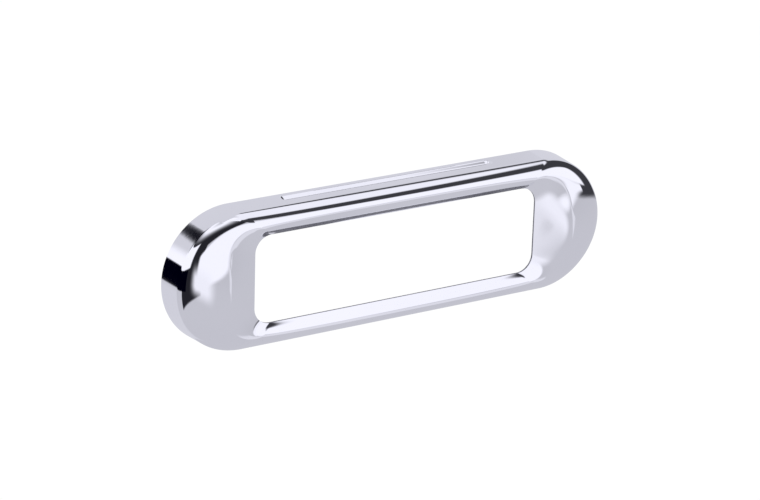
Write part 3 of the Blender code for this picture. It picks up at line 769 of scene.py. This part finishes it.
def fixing_holes(post_radius, post_steps, screw_radius, screw_steps):
    """Outlines of the holes for the posts and the screws."""
    holes = []
    for side in (-1, 1):
        holes.append(circle(side * POST_X, 0, post_radius, post_steps))
        holes += [circle(side * SCREW_X, level * SCREW_Z, screw_radius, screw_steps)
                  for level in (-1, 1)]
    return holes


def carrier_piece():
    """A plate round the opening, with two bored hinge lugs and two small hooks on its top edge."""
    outlines = [stadium(129.1, 35.3), round_box(100, -32.7, 30.7, 9.0)]
    outlines += fixing_holes(5.15, 40, 1.9, 28)
    obj = rounded(sheet("carrier_plate", outlines, -5.0, -1.8), 0.3)
    lug_side = [(-1.9, 34.4), (-1.9, 31.2), (-4.2, 30.9)]                    # (y, z)
    lug_side += arc(HINGE_Y, HINGE_Z, 4.9, -40, -220, 20) + [(-12.6, 34.2)]
    bore_radius = 3.25
    hook_front, hook_low, hook_high = -11.8, 32.3, 35.0
    for side in (-1, 1):
        lug = hull("lug", [(side * x, y, z) for x in (92.0, 96.0) for y, z in lug_side])
        combine(obj, rounded(lug, 0.35, angle=50), "UNION")
        low, high = sorted((side * 90.0, side * 98.0))
        bore = [(0, low), (bore_radius, low), (bore_radius, high), (0, high)]
        combine(obj, turned("bore", bore, 48, "X", HINGE), "DIFFERENCE")
        # each hook is a web standing forward and a face turned outwards at its front
        for name, near, far, rear in (("web", 57.0, 59.4, -3.0), ("face", 58.0, 64.0, -10.0)):
            low, high = sorted((side * near, side * far))
            part = block(name, (low, hook_front, hook_low), (high, rear, hook_high))
            combine(obj, rounded(part, 0.25), "UNION")
    return obj


def gasket_piece():
    outlines = [stadium(129.3, 35.5), round_box(100.6, -32.8, 31.0, 9.0)]
    outlines += fixing_holes(9.2, 48, 3.7, 32)
    return rounded(sheet("door_gasket", outlines, -1.5, 0.0), 0.35, 3)


def post_piece(name, side):
    """A knurled barrel with a threaded bore open at the rear, on a threaded shank to the front."""
    bore, barrel, shank = 2.1, 4.75, 2.85     # radii
    profile = [(0.0, 1.0), (bore, 2.0)] + runs(bore, 2.2, 14.6, 0.17)
    profile += [(2.5, 15.0), (4.25, 15.0), (4.62, 14.87), (barrel, 14.5), (barrel, 13.2)]
    profile += runs(barrel, 13.0, 1.0, 0.3) + [(barrel, -4.6), (4.6, -5.0), (shank, -5.0)]
    profile += runs(shank, -5.2, -15.4, 0.2) + [(2.35, -16.2), (0.0, -16.2)]
    bore_thread = thread(pitch=0.8, depth=-0.25, low=2.2, high=14.6, base=bore)
    barrel_knurl = knurl(depth=0.22, low=1.0, high=13.0, base=barrel, count=34)
    shank_thread = thread(pitch=1.0, depth=0.3, low=-15.4, high=-5.2, base=shank)

    def shape(radius, along, angle):
        if radius < 2.3 and along > 0:
            return bore_thread(radius, along, angle)
        if radius > 4:
            return barrel_knurl(radius, along, angle)
        return shank_thread(radius, along, angle)

    return turned(name, profile, 136, "Y", (side * POST_X, 0, 0), shape)


def washer_piece(name, side):
    """A flat ring with its edges eased."""
    profile = [  # (radius, place)
        (5.1, -0.95), (5.1, -1.25), (5.35, -1.5), (8.5, -1.5), (8.8, -1.3),
        (8.8, -0.9), (8.5, -0.7), (5.35, -0.7), (5.1, -0.95)]
    return turned(name, profile, 96, "Y", (side * POST_X, 0, 0))


def screw_piece(name, side, level):
    """A domed head facing the door, with a cross recess, on a threaded shank to the front."""
    x, z, shank = side * SCREW_X, level * SCREW_Z, 1.5
    profile = [  # (radius, place)
        (0.0, -0.1), (1.2, -0.11), (2.2, -0.2), (2.8, -0.45), (3.05, -0.8), (3.1, -1.2),
        (3.0, -1.5), (shank, -1.5)]
    profile += runs(shank, -1.7, -14.6, 0.16) + [(0.9, -15.9), (0.0, -16.6)]
    screw_thread = thread(pitch=1.1, depth=0.38, low=-14.6, high=-1.9, base=shank)
    obj = turned(name, profile, 48, "Y", (x, 0, z), screw_thread)
    # each arm of the recess grows longer from its floor to its mouth
    arm_long, arm_thin = 1.7, 0.36
    for flat in (True, False):
        points = []
        for y, grow in ((-1.05, 0.55), (0.5, 1.25)):
            half_x, half_z = arm_long * grow, arm_thin
            if not flat:
                half_x, half_z = half_z, half_x
            points += [(x + i * half_x, y, z + j * half_z)
                       for i, j in ((-1, -1), (1, -1), (1, 1), (-1, 1))]
        combine(obj, hull("slot", points), "DIFFERENCE")
    return obj


def pin_piece():
    """The hinge rod, grooved near both ends for the clips."""
    ends = [  # (radius, place)
        (0.0, 99.0), (1.0, 99.0), (1.35, 98.9), (1.5, 98.6), (1.5, 97.8), (1.38, 97.75),
        (1.38, 96.85), (1.5, 96.8)]
    profile = ends + runs(1.5, 90.0, -90.0, 6.0) + [(r, -x) for r, x in reversed(ends)]
    return turned("hinge_rod", profile, 48, "X", HINGE)


def bush_piece(name, side):
    """A sleeve in the lug's bore, with a flange on its inner end."""
    profile = [  # (radius, place)
        (1.82, 96.35), (1.97, 96.5), (2.77, 96.5), (2.92, 96.35), (2.92, 91.75), (3.0, 91.7),
        (4.1, 91.7), (4.3, 91.5), (4.3, 91.0), (4.1, 90.8), (2.0, 90.8), (1.82, 91.0),
        (1.82, 96.35)]
    return turned(name, [(r, side * x) for r, x in profile], 72, "X", HINGE)


def clip_piece(name, side):
    """An open ring across the pin."""
    ring = arc(0, 0, 3.7, -50, 230, 40) + arc(0, 0, 1.82, 230, -50, 30)
    obj = sheet(name, [ring], -0.4, 0.4)
    move = Matrix.Translation((side * 97.3, HINGE_Y, HINGE_Z))
    obj.data.transform(move @ Matrix.Rotation(math.pi / 2, 4, "Z"))
    return rounded(obj, 0.12)


def leaf_line(grow, top, notch):
    """The flap's outline, grown by a margin; notch cuts room for the springs in its top edge."""
    half_len, low, radius = 89.8 + grow, -55.8 - grow, 11.0 + grow
    deep, corner = 1.6, 0.8
    points = arc(-half_len + radius, low + radius, radius, 180, 270, 16)
    points += arc(half_len - radius, low + radius, radius, 270, 360, 16) + [(half_len, top)]
    if notch:
        for right, left in ((76.6, 59.4), (-59.4, -76.6)):
            points.append((right, top))
            points += arc(right - corner, top - deep, corner, 0, -90, 5)
            points += arc(left + corner, top - deep, corner, -90, -180, 5)
            points.append((left, top))
    return points + [(-half_len, top)]


def flap_piece():
    """The leaf, a rib along its lower edge, and three knuckles round the hinge axis."""
    obj = rounded(sheet("flap_leaf", [leaf_line(0, -2.5, True)], -3.0, -1.0), 0.45, 3)
    rib_line = round_box(74, -54.6, -52.4, 1.05, 8)
    combine(obj, rounded(sheet("rib", [rib_line], -1.5, 0.6), 0.5, 3), "UNION")
    inner, inner_edge, outer_edge, outer = 1.85, 2.0, 3.05, 3.3    # radii of a knuckle
    for low, high in ((-89.4, -77.0), (-59.0, 59.0), (77.0, 89.4)):
        tube = [
            (inner, low + 0.15), (inner_edge, low), (outer_edge, low), (outer, low + 0.25),
            (outer, high - 0.25), (outer_edge, high), (inner_edge, high), (inner, high - 0.15),
            (inner, low + 0.15)]
        combine(obj, turned("knuckle", tube, 72, "X", (0, 0, 0)), "UNION")
    return obj


def seal_piece():
    outlines = [leaf_line(-0.3, -4.0, False), leaf_line(-2.7, -6.4, False)]
    return rounded(sheet("flap_gasket", outlines, -4.8, -3.3), 0.5, 3)


def bump_piece(name, side):
    radius = 2.3
    profile = [(0.0, 1.8)]
    profile += [(radius * math.sin(a), -0.5 + radius * math.cos(a) ** 0.9)
                for a in np.linspace(0.15, 1.2, 9)]
    profile += [(radius, -0.1), (radius, -0.5), (2.15, -0.7), (0.0, -0.7)]
    return turned(name, profile, 48, "Y", (side * 83.0, 0, -7.4))


def spring_piece(name, side):
    """A coil round the hinge, one leg up to the carrier and one down the flap."""
    start, end = SPRING_X
    radius, turns, steps_a_turn = 3.0, 8, 28
    # both legs in (y, z) from the hinge axis, the flap's as it hangs straight down
    carrier_leg = [(3.9, 6.1), (3.6, 5.4), (3.3, 4.6), (3.12, 3.6), (3.02, 2.6), (3.0, 1.2)]
    flap_leg = [(2.6, -2.4), (1.9, -5.0), (1.1, -7.6), (0.3, -10.4), (-0.1, -12.4),
                (-0.23, -14.2), (-0.23, -19.0)]
    points = [(start, y, z) for y, z in carrier_leg]
    sweep = FLAP_REST - 2 * math.pi * turns
    count = steps_a_turn * turns
    for i in range(count + 1):
        angle = sweep * i / count
        points.append((start + (end - start) * i / count,
                       radius * math.cos(angle), radius * math.sin(angle)))
    cos, sin = math.cos(FLAP_REST), math.sin(FLAP_REST)
    points += [(end, y * cos - z * sin, y * sin + z * cos) for y, z in flap_leg]
    curve = bpy.data.curves.new(name, "CURVE")
    curve.dimensions = "3D"
    curve.bevel_depth = 0.42
    curve.bevel_resolution = 3
    curve.use_fill_caps = True
    curve.twist_mode = "MINIMUM"
    mesh = curve_mesh(curve, [[(side * x, y + HINGE_Y, z + HINGE_Z) for x, y, z in points]])
    weld(mesh)
    outward(mesh)
    return new_object(name, mesh)


# ---------------------------------------------------------------- build
chrome = chrome_plate()
shell = surround_piece("surround_plate")
smooth(shell, 25)
shell.data.materials.append(chrome)
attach(shell, "plate")
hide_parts("outer_frame")

nylon, foam_grey, aluminium = moulded_nylon(), foam(), brushed_aluminium()
black_rubber, white_acetal = rubber(), acetal()
zinc = metal("plated_steel", dark=(0.62, 0.62, 0.64), light=(0.74, 0.74, 0.76),
             roughness=(0.18, 0.34), marks=(200, 3000, 200))
wire = metal("spring_steel", dark=(0.36, 0.36, 0.38), light=(0.52, 0.52, 0.54),
             roughness=(0.22, 0.36), marks=(3000, 200, 200))
brass = metal("post_brass", dark=(0.66, 0.46, 0.20), light=(0.80, 0.60, 0.30),
              roughness=(0.20, 0.34), marks=(200, 3000, 200))

fit(carrier_piece(), nylon, "plate", "carrier")
fit(gasket_piece(), foam_grey, "plate", "rear_gasket")
fit(pin_piece(), zinc, "plate", "hinge_pin")
for word, side in SIDES:
    fit(post_piece(f"post_{word}", side), brass, "plate", f"fixing_post_{word}",
        soft=30)
    fit(washer_piece(f"washer_{word}", side), zinc, "plate", f"post_washer_{word}")
    fit(bush_piece(f"bush_{word}", side), white_acetal, "plate", f"hinge_bush_{word}")
    fit(clip_piece(f"clip_{word}", side), zinc, "plate", f"pin_clip_{word}")
    for height, level in (("upper", 1), ("lower", -1)):
        fit(screw_piece(f"screw_{height}_{word}", side, level), zinc, "plate",
            f"carrier_screw_{height}_{word}", soft=30)
    fit(bump_piece(f"bump_{word}", side), black_rubber, "flap", f"bump_stop_{word}",
        on_flap=True)
    coil = fit(spring_piece(f"spring_{word}", side), wire, None, f"flap_spring_{word}")
    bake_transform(coil)
fit(flap_piece(), aluminium, "flap", "flap", on_flap=True)
fit(seal_piece(), black_rubber, "flap", "flap_seal", on_flap=True)

world_light()


# ---------------------------------------------------------------- floor and camera
FLOOR_SIZE, FLOOR_GAP = 6.0, 0.0006    # metres; the gap is below the CAD pieces
AZIMUTH, ELEVATION, ROLL = math.radians(-32.70), math.radians(20.37), math.radians(1.834)
# the camera's place from the opening's middle, in half lengths of the plate
CAMERA_BACK, CAMERA_LEFT, CAMERA_DOWN = 12.085, 0.0002, 0.0248


def add_floor():
    """White paper that glows for the camera but neither lights, shades nor mirrors in the plate."""
    bpy.ops.mesh.primitive_plane_add(size=FLOOR_SIZE, location=(0, 0, cad_box[0][2] - FLOOR_GAP))
    floor = bpy.context.active_object
    floor.name = "studio_floor"
    material = bpy.data.materials.new("floor_paper")
    tree = Tree(material)
    out = tree.add("ShaderNodeOutputMaterial")
    glow = tree.add("ShaderNodeEmission")
    glow.inputs["Color"].default_value = WHITE
    glow.inputs["Strength"].default_value = PAPER_GLOW
    tree.link(glow.outputs[0], out.inputs["Surface"])
    floor.data.materials.append(material)
    floor.visible_glossy = False
    floor.visible_diffuse = False
    floor.visible_shadow = False


def add_camera():
    """Looks from the front left and a little above, with a slight roll."""
    back = Vector((math.sin(AZIMUTH) * math.cos(ELEVATION),
                   -math.cos(AZIMUTH) * math.cos(ELEVATION), math.sin(ELEVATION)))
    right = Vector((0, 0, 1)).cross(back).normalized()
    up = back.cross(right)
    cos, sin = math.cos(ROLL), math.sin(ROLL)
    right, up = cos * right + sin * up, -sin * right + cos * up
    offset = CAMERA_BACK * back - CAMERA_LEFT * right - CAMERA_DOWN * up
    data = bpy.data.cameras.new("photo_camera")
    camera = new_object("photo_camera", data)
    axes = (right.to_4d(), up.to_4d(), back.to_4d(), (0, 0, 0, 1))
    camera.matrix_world = Matrix(axes).transposed()
    camera.matrix_world.translation = offset * (HALF_LEN * MM) + Vector((0, 0, RISE * MM))
    data.sensor_width = 36.0
    data.lens = 141.76
    data.clip_start = 0.01
    bpy.context.scene.camera = camera


add_floor()
add_camera()

view = bpy.context.scene.view_settings
view.view_transform = "Standard"
view.look = "None"
view.exposure = 0.0
view.gamma = 1.0
